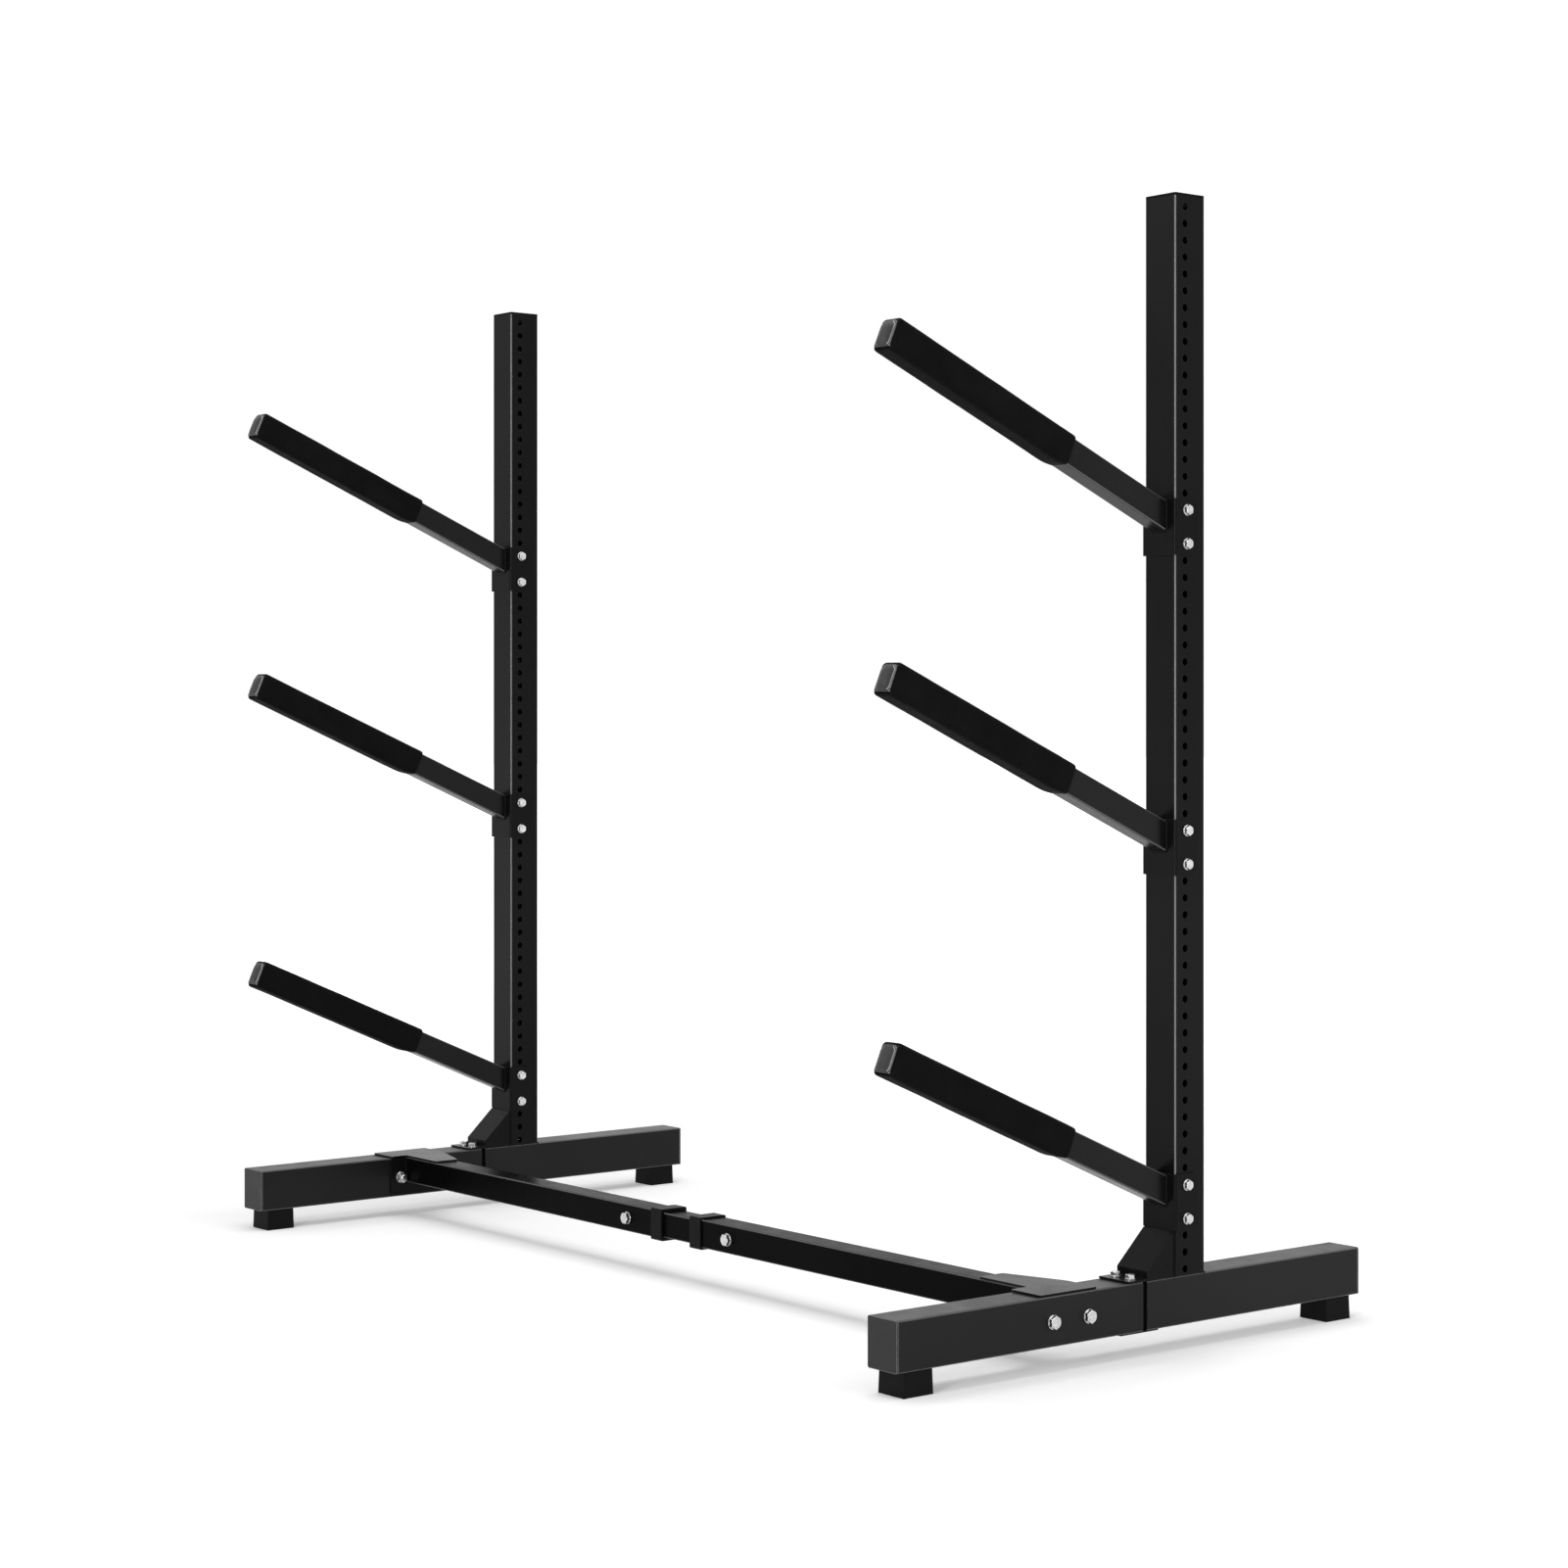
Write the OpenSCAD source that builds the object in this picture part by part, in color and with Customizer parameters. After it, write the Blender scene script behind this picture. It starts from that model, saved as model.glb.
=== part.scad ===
// Freestanding rack for three small boats.
// Two L-shaped frames stand side by side and a telescoping crossbar ties them together. Each frame
// is a long foot with a perforated post on it, and three padded arms are bolted to the post's holes.
// Origin: middle of the footprint, on the floor. +X runs along the crossbar, -Y is where the arms
// reach to, +Z is up.

/* [Frames] */
// Distance between the two frames, centre to centre
frame_spacing = 1700; // [1500:20:1900]
// Width of the posts and of the feet
frame_w = 60; // [56:2:66]
// Wall of every square tube
wall = 2; // [1.5:0.5:2.5]
// Length of a foot
foot_l = 910; // [860:10:1000]
// Height of a foot's section
foot_h = 70; // [64:2:80]
// Height of the blocks that a foot stands on
block_h = 35; // [30:1:45]
// Side of a foot block
block_w = 50; // [40:2:54]
// Distance from a foot's end to its block
block_set_in = 16; // [8:2:40]

/* [Posts] */
// Distance from a foot's front end to the post's front face
post_from_front = 520; // [490:10:560]
// Number of holes up a post
post_holes = 64; // [60:1:70]
// Pitch of the post's holes
hole_pitch = 24; // [22:1:26]
// Distance from the post's front face to the middle of its holes
hole_set_in = 20; // [18:1:26]
// Height of the first hole above the foot
first_hole = 9; // [8:1:12]

/* [Splice and gusset] */
// Gap left between the two halves of a foot
seam_gap = 8; // [4:1:10]
// Length of the tube inside that joins the two halves
splice_l = 120; // [100:10:160]
// How far the gusset reaches in front of the post
gusset_d = 56; // [50:2:64]
// Length of the gusset's flange on the front half of the foot
flange_l = 36; // [34:1:44]
// Thickness of the bent plates
plate_t = 3; // [2.5:0.5:4]

/* [Crossbar] */
// Side of the crossbar's outer tubes
bar_w = 45; // [42:1:48]
// Distance from a foot's front end to the middle of the crossbar
bar_from_front = 315; // [280:5:340]
// Gap between the two collars, where the inner tube shows
bar_gap = 76; // [72:4:100]
// Length of a collar
collar_l = 28; // [24:1:36]
// Pitch of the inner tube's holes
bar_pitch = 36; // [36:2:40]
// Width of the crossbar's end bracket along the foot
bracket_w = 108; // [100:2:120]
// Length of the end bracket's tongue over the crossbar
tongue_l = 100; // [60:5:140]

/* [Arms] */
// Width of the arms' tubes
arm_w = 32; // [28:1:40]
// Height of the arms' tubes, across their slope
arm_h = 40; // [36:1:42]
// Length of an arm from the post to its tip
arm_l = 565; // [500:5:600]
// Slope of the arms above level, in degrees
arm_tilt = 23.5; // [18:0.5:26]
// Length of the foam sleeves
foam_l = 350; // [280:5:380]
// Thickness of the foam
foam_t = 4; // [3:0.5:6]
// Post hole at the middle of the lower brackets, counted from 0 at the foot
low_hole = 4; // [4:1:12]
// Post hole at the middle of the middle brackets
mid_hole = 25; // [18:1:32]
// Post hole at the middle of the upper brackets
top_hole = 44; // [38:1:58]

/* [Hidden] */
SIDES = ["left", "right"];
TIERS = ["low", "mid", "top"];
FRAME_PARTS = [
    "upright", "upright_cap", "rear_foot_tube", "front_foot_tube", "foot_splice_tube", "gusset",
    "foot_end_caps", "foot_blocks", "crossbar_bracket", "crossbar_tube", "crossbar_collar",
    "bracket_bolts", "gusset_bolts", "crossbar_bolt"
];
ARM_PARTS = ["arm_bracket", "arm_tube", "foam_sleeve", "end_cap", "arm_bolts"];
$fn = 64;

// Clearances: around a bolt in its hole, and between nested tubes
bolt_gap = 0.3;
slip_gap = 0.3;
cut = 1; // how far a cutting solid runs past what it cuts

// M10 hexagon bolts with washers, across the feet and the crossbar
m10_d = 10;
m10_hex = 17; // across the flats
m10_head = 6.4;
m10_nut = 8;
m10_washer_d = 20;
m10_washer_t = 2;
m10_end = 3; // how far the bolt stands out of its nut
m10_hole = m10_d + 2 * bolt_gap;
M10 = [m10_d, m10_hex, m10_head, m10_nut, m10_washer_d, m10_washer_t, m10_end];

// M8 hexagon bolts with washers and lock nuts, through the arms' brackets and the gussets
m8_d = 8;
m8_hex = 13;
m8_head = 5.3;
m8_nut = 8;
m8_washer_d = 16;
m8_washer_t = 1.6;
m8_end = 5;
m8_hole = m8_d + 2 * bolt_gap;
M8 = [m8_d, m8_hex, m8_head, m8_nut, m8_washer_d, m8_washer_t, m8_end];

bolt_point = 1; // height of the chamfer on a bolt's end
hex_round = 0.95; // top of a head or nut, as a share of the hexagon's width across the flats
post_hole_d = 10.6; // the post's holes are wide enough for quick changes

// Tubes and feet
tube_r = 3; // outer corner radius of every tube
cap_t = 3; // thickness of the plugs' plates
plug_l = 15; // length of a plug inside its tube
plug_wall = 3;
foot_bottom = block_h;
foot_top = block_h + foot_h;
foot_mid = block_h + foot_h / 2;
foot_front = -foot_l / 2;
foot_rear = foot_l / 2;
block_flare = 1; // how far a block's bottom stands out past its top
lip_t = 2; // plate welded under the front half, which the rear half rests on
lip_back = 41; // its length on the front half
lip_over = 25; // its length under the rear half

// Post and its foot joint
post_front = foot_front + post_from_front;
post_mid = post_front + frame_w / 2;
post_margin = 15; // from the last hole to the post's top
post_l = first_hole + (post_holes - 1) * hole_pitch + post_margin;
hole_y = post_front + hole_set_in;
post_cap_t = 4;
gusset_front = post_front - gusset_d;
rear_start = gusset_front;
front_end = rear_start - seam_gap;
gusset_lip = 14; // upright part of the gusset's web above the foot
gusset_bolt_y = gusset_front - flange_l / 2;
gusset_bolt_x = frame_w / 2 - 2 * wall - slip_gap - tube_r - m8_washer_d / 2;
gusset_grip = plate_t + 2 * wall + slip_gap; // flange, and the upper walls of both tubes

// Crossbar
bar_y = foot_front + bar_from_front;
bar_z = foot_top - bar_w / 2;
bar_slack = 1; // difference between the inner tube's side and the outer tube's bore
bar_in = bar_w - 2 * wall - bar_slack; // side of the inner tube
collar_lip = 3;
collar_t = 3;
bar_end = bar_gap / 2 + collar_lip; // distance of an outer tube's end from the middle
bar_bolt_in = 93; // from an outer tube's end to its bolt
bar_bolt_x = bar_end + bar_bolt_in;
bar_steps_in = 1; // holes towards the middle from the bolt's own
bar_steps_out = 5; // holes away from the middle
bar_margin = 21; // from the inner tube's last hole to its end
bar_in_half = bar_bolt_x + bar_steps_out * bar_pitch + bar_margin;
bracket_rise = 3; // from the foot's underside to the end bracket's upright plate
bracket_drop = foot_h - bracket_rise;
bracket_bolt_y = 34;

// Arms
lowest_hole = 4; // the gusset's height leaves this hole as the lowest place for a bracket
arm_bracket_edge = 16; // plate beyond a bracket's bolts
arm_bracket_h = 2 * hole_pitch + 2 * arm_bracket_edge;
arm_bracket_d = 45; // depth of a bracket's sides behind the post's front face
arm_bracket_r = 4;
arm_bracket_chamfer = 8;
arm_drop = 2; // the arm's top edge stays this far under the bracket's
arm_root_y = post_front - plate_t;
arm_root_up = arm_bracket_h / 2 - arm_drop - arm_h / 2 / cos(arm_tilt);
arm_axis_l = arm_l - plate_t / cos(arm_tilt); // from the bracket's web to the tip, along the arm
tip_cap_t = 6;
tip_chamfer = 6;
tip_dome_r = 60;
foam_gap = 1; // between the foam and the tip plug
gusset_gap = 1; // between the gusset and the lowest bracket
gusset_h = first_hole + lowest_hole * hole_pitch - arm_bracket_h / 2 - gusset_gap;

// ---- shared shapes ----

// Rectangle with rounded corners, about its centre
module round_rect(w, h, r) {
    square([w - 2 * r, h], center = true);
    square([w, h - 2 * r], center = true);
    for (x = [-1, 1], y = [-1, 1])
        translate([x * (w / 2 - r), y * (h / 2 - r)]) circle(r);
}

// Section of a welded square tube
module tube_section(w, h) {
    difference() {
        round_rect(w, h, tube_r);
        round_rect(w - 2 * wall, h - 2 * wall, tube_r - wall / 2);
    }
}

// Moves what follows from the middle of the floor to one frame; the left frame is the mirror image
module at_frame(dir) {
    translate([dir * frame_spacing / 2, 0, 0])
        mirror([dir < 0 ? 1 : 0, 0, 0])
            children();
}

// Runs a shape drawn along +Z along +Y instead, starting at y
module along_y(y, z) {
    translate([0, y, z]) rotate([-90, 0, 0]) children();
}

// Runs a shape drawn along +Z along +X instead
module along_x() {
    rotate([90, 0, 90]) children();
}

// Plug with a plate on its outer end, drawn with the plate's outside at z = 0 and the plug at +Z
module tube_plug(w, h, plate) {
    inner_w = w - 2 * wall - 2 * slip_gap;
    inner_h = h - 2 * wall - 2 * slip_gap;
    linear_extrude(plate) round_rect(w, h, tube_r);
    translate([0, 0, plate])
        linear_extrude(plug_l)
            difference() {
                round_rect(inner_w, inner_h, tube_r);
                square([inner_w - 2 * plug_wall, inner_h - 2 * plug_wall], center = true);
            }
}

// Hexagon of a head or nut, h high, with its corners rounded off towards the top
module hexagon(af, h) {
    top_r = hex_round * af / 2;
    intersection() {
        cylinder(h = h, d = af / cos(30), $fn = 6);
        cylinder(h = h, r1 = top_r + h / tan(30), r2 = top_r);
    }
}

// Bolt along +Z through a grip from z = 0: head and washer below it, washer and nut above it
module bolt(size, grip) {
    bolt_d = size[0];
    hex_af = size[1];
    head_h = size[2];
    nut_h = size[3];
    washer_d = size[4];
    washer_t = size[5];
    shank_l = grip + 2 * washer_t + nut_h + size[6];
    translate([0, 0, -washer_t]) {
        cylinder(h = washer_t, d = washer_d);
        cylinder(h = shank_l - bolt_point, d = bolt_d);
        translate([0, 0, shank_l - bolt_point])
            cylinder(h = bolt_point, d1 = bolt_d, d2 = bolt_d - 2 * bolt_point);
        mirror([0, 0, 1]) hexagon(hex_af, head_h);
    }
    translate([0, 0, grip]) {
        cylinder(h = washer_t, d = washer_d);
        translate([0, 0, washer_t])
            intersection() {
                hexagon(hex_af, nut_h);
                translate([0, 0, nut_h]) mirror([0, 0, 1]) hexagon(hex_af, nut_h);
            }
    }
}

// ---- one frame, drawn for the right side; its inner side faces -X ----

// Perforated square post, welded to the rear half of the foot
module upright(dir) {
    color("#1a1a1b")
        at_frame(dir)
            difference() {
                translate([0, post_mid, foot_top])
                    linear_extrude(post_l) tube_section(frame_w, frame_w);
                for (i = [0 : post_holes - 1])
                    translate([-frame_w / 2 - cut, hole_y, foot_top + first_hole + i * hole_pitch])
                        rotate([0, 90, 0])
                            cylinder(h = frame_w + 2 * cut, d = post_hole_d);
            }
}

// Plastic plug in the post's top
module upright_cap(dir) {
    color("#222223")
        at_frame(dir)
            translate([0, post_mid, foot_top + post_l + post_cap_t])
                mirror([0, 0, 1]) tube_plug(frame_w, frame_w, post_cap_t);
}

// Rear half of the foot, under the post
module rear_foot_tube(dir) {
    color("#1a1a1b")
        at_frame(dir)
            along_y(rear_start, foot_mid)
                linear_extrude(foot_rear - cap_t - rear_start) tube_section(frame_w, foot_h);
}

// Front half of the foot, with the thin plate under its rear end
module front_foot_tube(dir) {
    lip_w = frame_w - 2 * tube_r;
    color("#1a1a1b")
        at_frame(dir)
            difference() {
                union() {
                    along_y(foot_front + cap_t, foot_mid)
                        linear_extrude(front_end - foot_front - cap_t) tube_section(frame_w, foot_h);
                    translate([-lip_w / 2, front_end - lip_back, foot_bottom - lip_t])
                        cube([lip_w, lip_back + seam_gap + lip_over, lip_t]);
                }
                for (y = [-1, 1])
                    translate([-frame_w / 2 - cut, bar_y + y * bracket_bolt_y, foot_mid])
                        rotate([0, 90, 0])
                            cylinder(h = frame_w + 2 * cut, d = m10_hole);
                gusset_bolt_holes();
            }
}

// Upright holes of the two gusset bolts, down through the upper walls of both tubes
module gusset_bolt_holes() {
    depth = gusset_grip + cut;
    for (x = [-1, 1])
        translate([x * gusset_bolt_x, gusset_bolt_y, foot_top + plate_t - depth])
            cylinder(h = depth + cut, d = m8_hole);
}

// Tube inside both halves of the foot; it is open at its ends and rests on their floors
module foot_splice_tube(dir) {
    splice_w = frame_w - 2 * wall - 2 * slip_gap;
    splice_h = foot_h - 2 * wall - slip_gap;
    color("#161617")
        at_frame(dir)
            difference() {
                along_y(front_end + seam_gap / 2 - splice_l / 2, foot_mid - slip_gap / 2)
                    linear_extrude(splice_l) tube_section(splice_w, splice_h);
                gusset_bolt_holes();
            }
}

// Bent gusset in front of the post's base: two sides, a sloping web and a flange on the front half
module gusset(dir) {
    web_top = post_front - plate_t;
    profile = [
        [gusset_front, foot_top],
        [gusset_front, foot_top + gusset_lip],
        [web_top, foot_top + gusset_h],
        [post_front, foot_top + gusset_h],
        [post_front, foot_top]
    ];
    slope = atan2(gusset_h - gusset_lip, web_top - gusset_front);
    web_in = plate_t / sin(slope);
    color("#1a1a1b")
        at_frame(dir)
            difference() {
                union() {
                    translate([-frame_w / 2, 0, 0])
                        along_x() linear_extrude(frame_w) polygon(profile);
                    translate([-frame_w / 2, gusset_front - flange_l, foot_top])
                        cube([frame_w, flange_l + cut, plate_t]);
                }
                translate([-frame_w / 2 + plate_t, 0, 0])
                    along_x()
                        linear_extrude(frame_w - 2 * plate_t)
                            polygon([
                                [gusset_front + plate_t, foot_top - cut],
                                [gusset_front + plate_t, foot_top + gusset_lip],
                                [web_top + web_in, foot_top + gusset_h + plate_t / tan(slope)],
                                [post_front + cut, foot_top + gusset_h + cut],
                                [post_front + cut, foot_top - cut]
                            ]);
                gusset_bolt_holes();
            }
}

// Plastic plugs in both ends of the foot
module foot_end_caps(dir) {
    color("#222223")
        at_frame(dir) {
            along_y(foot_front, foot_mid) tube_plug(frame_w, foot_h, cap_t);
            translate([0, foot_rear, foot_mid])
                rotate([90, 0, 0]) tube_plug(frame_w, foot_h, cap_t);
        }
}

// Flared block under each end of the foot
module foot_blocks(dir) {
    block_y = foot_l / 2 - block_set_in - block_w / 2;
    side = block_w / 2 + block_flare;
    flank = [[-side, 0], [side, 0], [block_w / 2, block_h], [-block_w / 2, block_h]];
    color("#121213")
        at_frame(dir)
            for (end = [-1, 1])
                translate([0, end * block_y, 0])
                    intersection() {
                        translate([-side, 0, 0]) along_x() linear_extrude(2 * side) polygon(flank);
                        translate([0, side, 0])
                            rotate([90, 0, 0]) linear_extrude(2 * side) polygon(flank);
                    }
}

// End bracket: a plate down the foot's inner side, bent over its top, with a tongue on the crossbar
module crossbar_bracket(dir) {
    top_x = frame_w / 2 - tube_r;
    side_x = -frame_w / 2;
    outer_x = side_x - plate_t;
    color("#1a1a1b")
        at_frame(dir)
            difference() {
                union() {
                    translate([outer_x, bar_y - bracket_w / 2, foot_top])
                        cube([top_x - outer_x, bracket_w, plate_t]);
                    translate([outer_x, bar_y - bracket_w / 2, foot_top - bracket_drop])
                        cube([plate_t, bracket_w, bracket_drop + plate_t]);
                    translate([0, bar_y, foot_top])
                        linear_extrude(plate_t)
                            polygon([
                                [outer_x, -bracket_w / 2],
                                [outer_x - tongue_l, -bar_w / 2],
                                [outer_x - tongue_l, bar_w / 2],
                                [outer_x, bracket_w / 2]
                            ]);
                }
                for (y = [-1, 1])
                    translate([outer_x - cut, bar_y + y * bracket_bolt_y, foot_mid])
                        rotate([0, 90, 0])
                            cylinder(h = plate_t + 2 * cut, d = m10_hole);
            }
}

// Outer tube of the crossbar, welded to the end bracket
module crossbar_tube(dir) {
    start = frame_w / 2 + plate_t;
    length = frame_spacing / 2 - bar_end - start;
    color("#1a1a1b")
        at_frame(dir)
            difference() {
                translate([-start - length, bar_y, bar_z])
                    along_x() linear_extrude(length) tube_section(bar_w, bar_w);
                translate([bar_bolt_x - frame_spacing / 2, bar_y - bar_w / 2 - cut, bar_z])
                    rotate([-90, 0, 0])
                        cylinder(h = bar_w + 2 * cut, d = m10_hole);
            }
}

// Plastic collar on the outer tube's end; the inner tube slides on the floor of its opening
module crossbar_collar(dir) {
    outer = bar_w + 2 * collar_t;
    color("#161617")
        at_frame(dir)
            translate([bar_gap / 2 - frame_spacing / 2, bar_y, bar_z])
                difference() {
                    along_x() linear_extrude(collar_l) round_rect(outer, outer, tube_r);
                    translate([collar_lip, -bar_w / 2, -bar_w / 2])
                        cube([collar_l, bar_w, bar_w]);
                    translate([-cut, -bar_in / 2 - slip_gap, -bar_in / 2])
                        cube([collar_lip + 2 * cut, bar_in + 2 * slip_gap, bar_in + slip_gap]);
                }
}

// Two bolts through the foot and the end bracket's upright plate
module bracket_bolts(dir) {
    color("#c9cacb")
        at_frame(dir)
            for (y = [-1, 1])
                translate([frame_w / 2, bar_y + y * bracket_bolt_y, foot_mid])
                    rotate([0, -90, 0]) bolt(M10, frame_w + plate_t);
}

// Two short bolts down through the gusset's flange, with their nuts inside the foot
module gusset_bolts(dir) {
    color("#c9cacb")
        at_frame(dir)
            for (x = [-1, 1])
                translate([x * gusset_bolt_x, gusset_bolt_y, foot_top + plate_t])
                    rotate([180, 0, 0]) bolt(M8, gusset_grip);
}

// Bolt across the crossbar's outer and inner tubes
module crossbar_bolt(dir) {
    color("#c9cacb")
        at_frame(dir)
            translate([bar_bolt_x - frame_spacing / 2, bar_y - bar_w / 2, bar_z])
                rotate([-90, 0, 0]) bolt(M10, bar_w);
}

// ---- the part between the frames ----

// Inner tube with a row of holes at each end, for setting the distance between the frames
module crossbar_inner_tube() {
    color("#1a1a1b")
        difference() {
            translate([-bar_in_half, bar_y, bar_z])
                along_x() linear_extrude(2 * bar_in_half) tube_section(bar_in, bar_in);
            for (dir = [-1, 1], i = [-bar_steps_in : bar_steps_out])
                translate([dir * (bar_bolt_x + i * bar_pitch), bar_y - bar_in / 2 - cut, bar_z])
                    rotate([-90, 0, 0])
                        cylinder(h = bar_in + 2 * cut, d = m10_hole);
        }
}

// ---- one arm, moved to its post and its holes ----

// Moves what follows to the middle of an arm's bracket; both sides are alike, not mirrored
module at_arm(dir, hole) {
    translate([dir * frame_spacing / 2, 0, foot_top + first_hole + hole * hole_pitch])
        children();
}

// Runs a shape drawn along +Z along the arm, from its root on the bracket's web
module along_arm() {
    translate([0, arm_root_y, arm_root_up])
        rotate([90 - arm_tilt, 0, 0])
            children();
}

// Channel around the post's front, with a bolt hole near the top and the bottom of each side
module arm_bracket(dir, hole) {
    inner_w = frame_w + 2 * slip_gap;
    outer_w = inner_w + 2 * plate_t;
    depth = arm_bracket_d + plate_t;
    color("#1a1a1b")
        at_arm(dir, hole)
            difference() {
                translate([0, arm_root_y, -arm_bracket_h / 2])
                    linear_extrude(arm_bracket_h)
                        difference() {
                            union() {
                                translate([-outer_w / 2, arm_bracket_r])
                                    square([outer_w, depth - arm_bracket_r]);
                                translate([arm_bracket_r - outer_w / 2, 0])
                                    square([outer_w - 2 * arm_bracket_r, arm_bracket_r + cut]);
                                for (x = [-1, 1])
                                    translate([x * (outer_w / 2 - arm_bracket_r), arm_bracket_r])
                                        circle(arm_bracket_r);
                            }
                            translate([-inner_w / 2, plate_t]) square([inner_w, depth]);
                        }
                for (z = [-1, 1])
                    translate([-outer_w / 2 - cut, hole_y, z * hole_pitch])
                        rotate([0, 90, 0])
                            cylinder(h = outer_w + 2 * cut, d = m8_hole);
                // the sides' rear corners are cut off
                for (z = [-1, 1])
                    translate([0, arm_root_y + depth, z * arm_bracket_h / 2])
                        rotate([45, 0, 0])
                            cube([
                                outer_w + 2 * cut,
                                arm_bracket_chamfer * sqrt(2),
                                arm_bracket_chamfer * sqrt(2)
                            ], center = true);
            }
}

// Square tube with a mitred root, welded to the bracket's web
module arm_tube(dir, hole) {
    tube_l = arm_axis_l - tip_cap_t;
    color("#1a1a1b")
        at_arm(dir, hole)
            difference() {
                along_arm()
                    translate([0, 0, -arm_h])
                        linear_extrude(tube_l + arm_h) tube_section(arm_w, arm_h);
                translate([-arm_w, arm_root_y, arm_root_up - 2 * arm_h])
                    cube([2 * arm_w, 2 * arm_h, 4 * arm_h]);
            }
}

// Closed-cell foam sleeve on the outer part of the arm, up to the tip plug
module foam_sleeve(dir, hole) {
    foam_end = arm_axis_l - tip_cap_t - foam_gap;
    color("#0e0e0f")
        at_arm(dir, hole)
            along_arm()
                translate([0, 0, foam_end - foam_l])
                    linear_extrude(foam_l)
                        difference() {
                            round_rect(arm_w + 2 * foam_t, arm_h + 2 * foam_t, tube_r + foam_t);
                            square([arm_w, arm_h], center = true);
                        }
}

// Plug in the arm's tip, slightly domed, with its upper corners cut off
module end_cap(dir, hole) {
    half_w = arm_w / 2;
    half_h = arm_h / 2;
    face = [
        [-half_w, -half_h], [half_w, -half_h],
        [half_w, half_h - tip_chamfer], [half_w - tip_chamfer, half_h],
        [tip_chamfer - half_w, half_h], [-half_w, half_h - tip_chamfer]
    ];
    inner_w = arm_w - 2 * wall - 2 * slip_gap;
    inner_h = arm_h - 2 * wall - 2 * slip_gap;
    color("#2b2b2c")
        at_arm(dir, hole)
            along_arm() {
                translate([0, 0, arm_axis_l - tip_cap_t])
                    intersection() {
                        linear_extrude(tip_cap_t) polygon(face);
                        translate([0, 0, tip_cap_t - tip_dome_r]) sphere(tip_dome_r, $fn = 128);
                    }
                translate([0, 0, arm_axis_l - tip_cap_t - plug_l])
                    linear_extrude(plug_l)
                        difference() {
                            round_rect(inner_w, inner_h, tube_r);
                            square([inner_w - 2 * plug_wall, inner_h - 2 * plug_wall], center = true);
                        }
            }
}

// Two bolts through a bracket's sides and the post, heads at +X on both frames
module arm_bolts(dir, hole) {
    half = frame_w / 2 + slip_gap + plate_t;
    color("#c9cacb")
        at_arm(dir, hole)
            for (z = [-1, 1])
                translate([half, hole_y, z * hole_pitch])
                    rotate([0, -90, 0]) bolt(M8, 2 * half);
}

// ---- drawing ----

crossbar_inner_tube();

for (i = [0, 1]) {
    dir = 2 * i - 1;
    side = SIDES[i];
    upright(dir);
    upright_cap(dir);
    rear_foot_tube(dir);
    front_foot_tube(dir);
    foot_splice_tube(dir);
    gusset(dir);
    foot_end_caps(dir);
    foot_blocks(dir);
    crossbar_bracket(dir);
    crossbar_tube(dir);
    crossbar_collar(dir);
    bracket_bolts(dir);
    gusset_bolts(dir);
    crossbar_bolt(dir);
    for (t = [0 : 2]) {
        hole = [low_hole, mid_hole, top_hole][t];
        name = str(side, "_", TIERS[t]);
        arm_bracket(dir, hole);
        arm_tube(dir, hole);
        foam_sleeve(dir, hole);
        end_cap(dir, hole);
        arm_bolts(dir, hole);
    }
}
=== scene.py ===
"""Looks of the freestanding rack: powder-coated steel, zinc-plated bolts, plastic plugs and foam sleeves.

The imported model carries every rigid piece. This script sets the camera and the studio and gives each
finish its material. It makes what the solids leave out, which is the weld beads, the bolts' threads and
the foam's soft form, and two pieces in finer detail: the tip plugs and the crossbar's bent brackets.
"""

import math

import bmesh
import bpy
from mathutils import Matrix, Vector, noise


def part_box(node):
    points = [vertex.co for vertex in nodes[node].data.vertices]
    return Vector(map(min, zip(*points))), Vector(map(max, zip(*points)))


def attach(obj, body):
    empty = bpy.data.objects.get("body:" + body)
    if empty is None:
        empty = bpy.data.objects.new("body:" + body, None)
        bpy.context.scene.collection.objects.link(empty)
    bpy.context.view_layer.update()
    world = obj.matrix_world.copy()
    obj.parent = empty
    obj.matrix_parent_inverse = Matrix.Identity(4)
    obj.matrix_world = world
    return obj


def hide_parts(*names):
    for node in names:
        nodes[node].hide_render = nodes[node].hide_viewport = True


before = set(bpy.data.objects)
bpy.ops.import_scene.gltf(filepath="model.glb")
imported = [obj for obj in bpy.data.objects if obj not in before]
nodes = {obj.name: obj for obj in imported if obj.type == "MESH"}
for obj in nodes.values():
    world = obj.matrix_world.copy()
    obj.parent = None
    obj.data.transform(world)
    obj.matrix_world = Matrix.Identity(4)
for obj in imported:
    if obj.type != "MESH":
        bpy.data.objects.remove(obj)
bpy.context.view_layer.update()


# ---------------------------------------------------------------------------------------------
# Camera. The picture was taken from in front and to the right of the rack, at waist height, with a
# short telephoto lens held level.

CAMERA_AT = Vector((3.986, -3.120, 0.909))
CAMERA_LEVEL = math.radians(90)
CAMERA_TURN = math.radians(51.45)
SENSOR = 36.0
FOCAL_LENGTH = 71.4
HORIZON_SHIFT = -0.047
FARTHEST_SEEN = 100

camera_data = bpy.data.cameras.new("camera")
camera_data.sensor_width = SENSOR
camera_data.lens = FOCAL_LENGTH
camera_data.shift_y = HORIZON_SHIFT
camera_data.clip_end = FARTHEST_SEEN
camera = bpy.data.objects.new("camera", camera_data)
camera.location = CAMERA_AT
camera.rotation_euler = (CAMERA_LEVEL, 0, CAMERA_TURN)
bpy.context.collection.objects.link(camera)
bpy.context.scene.camera = camera
bpy.context.scene.view_settings.view_transform = "Standard"


# ---------------------------------------------------------------------------------------------
# Studio. A white room with a white floor, soft boxes in front, at the right and overhead, and a tall
# strip beside the camera that draws a bright line down the rounded corners of the tubes.

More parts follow.
